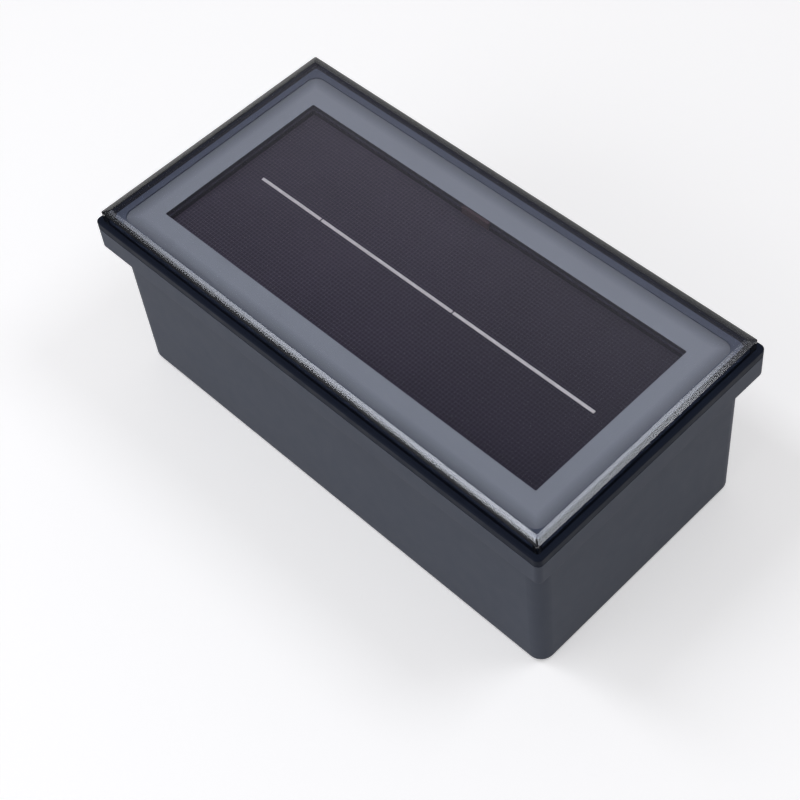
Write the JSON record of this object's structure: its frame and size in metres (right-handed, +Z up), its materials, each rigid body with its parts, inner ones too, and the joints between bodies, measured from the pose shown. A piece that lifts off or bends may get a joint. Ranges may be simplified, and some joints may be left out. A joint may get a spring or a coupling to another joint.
{
  "type": "solar brick light",
  "caption": "Rectangular ground light with a solar panel under a bevelled clear lens, a dark rim on a flanged grey box, and a battery and power button underneath.",
  "frame": {"origin": "middle of the plane that the light stands on, under its centre", "axes": "+Z up through the lens, +X along the length, +Y across the width, with the button towards +X"},
  "size_m": [0.2, 0.103, 0.076],
  "materials": {
    "housing_plastic": "satin moulded slate grey",
    "rim_plastic": "semi-gloss near black",
    "lens_clear": "clear, polished",
    "diffuser_plastic": "frosted light grey",
    "tray_plastic": "matte black",
    "reflector_plastic": "white",
    "cell_face": "dark purple cell with fine lines",
    "ribbon_metal": "tinned ribbon",
    "clip_plastic": "dark reddish brown",
    "gasket_rubber": "matte",
    "screw_steel": "zinc plated",
    "spring_steel": "bright wire",
    "contact_plate": "nickel plated",
    "board_green": "solder mask",
    "board_white": "white solder mask",
    "board_back": "dark laminate",
    "led_body": "phosphor yellow on white",
    "chip_plastic": "moulded black",
    "capacitor_sleeve": "sleeve",
    "socket_plastic": "off-white nylon",
    "wire_red": "insulation",
    "wire_black": "insulation",
    "battery_wrap": "shrink wrap",
    "button_plastic": "soft black",
    "switch_plastic": "black"
  },
  "bodies": {
    "lamp": {"base_housing": "housing_plastic", "battery": "battery_wrap", "battery_cover": "housing_plastic", "battery_socket": "socket_plastic", "battery_spring": "spring_steel", "battery_wire_negative": "wire_black", "battery_wire_positive": "wire_red", "board_screws": "screw_steel", "button_seal": "gasket_rubber", "button_spring": "spring_steel", "capacitor": "capacitor_sleeve", "cell_ribbons": "ribbon_metal", "contact_negative": "contact_plate", "contact_positive": "contact_plate", "control_board": "board_green", "control_chip": "chip_plastic", "cover_gasket": "gasket_rubber", "cover_screws": "screw_steel", "diffuser_frame": "diffuser_plastic", "frame_screws": "screw_steel", "housing_gasket": "gasket_rubber", "inductor": "chip_plastic", "led_board_front": "board_white", "led_board_left": "board_white", "led_board_rear": "board_white", "led_board_right": "board_white", "led_cable": "wire_black", "led_link_cables": "wire_black", "led_socket": "socket_plastic", "leds_front": "led_body", "leds_left": "led_body", "leds_rear": "led_body", "leds_right": "led_body", "lens": "lens_clear", "lens_gasket": "gasket_rubber", "panel_board": "board_back", "panel_cable": "wire_black", "panel_edge_clip": "clip_plastic", "panel_socket": "socket_plastic", "panel_tray": "tray_plastic", "reflector_tray": "reflector_plastic", "resistors": "chip_plastic", "rim_frame": "rim_plastic", "solar_cell": "cell_face", "switch_body": "switch_plastic", "switch_cable": "wire_black", "switch_screws": "screw_steel", "switch_socket": "socket_plastic"},
    "button": {"power_button": "button_plastic"}
  },
  "joints": [
    {"name": "button_press", "type": "slide", "parent": "lamp", "child": "button", "axis": [0, 0, 1], "range_m": [0, 0.0016], "stiffness_N_per_m": 1000, "springref_m": -0.0006, "deforming": ["button_spring"]}
  ]
}
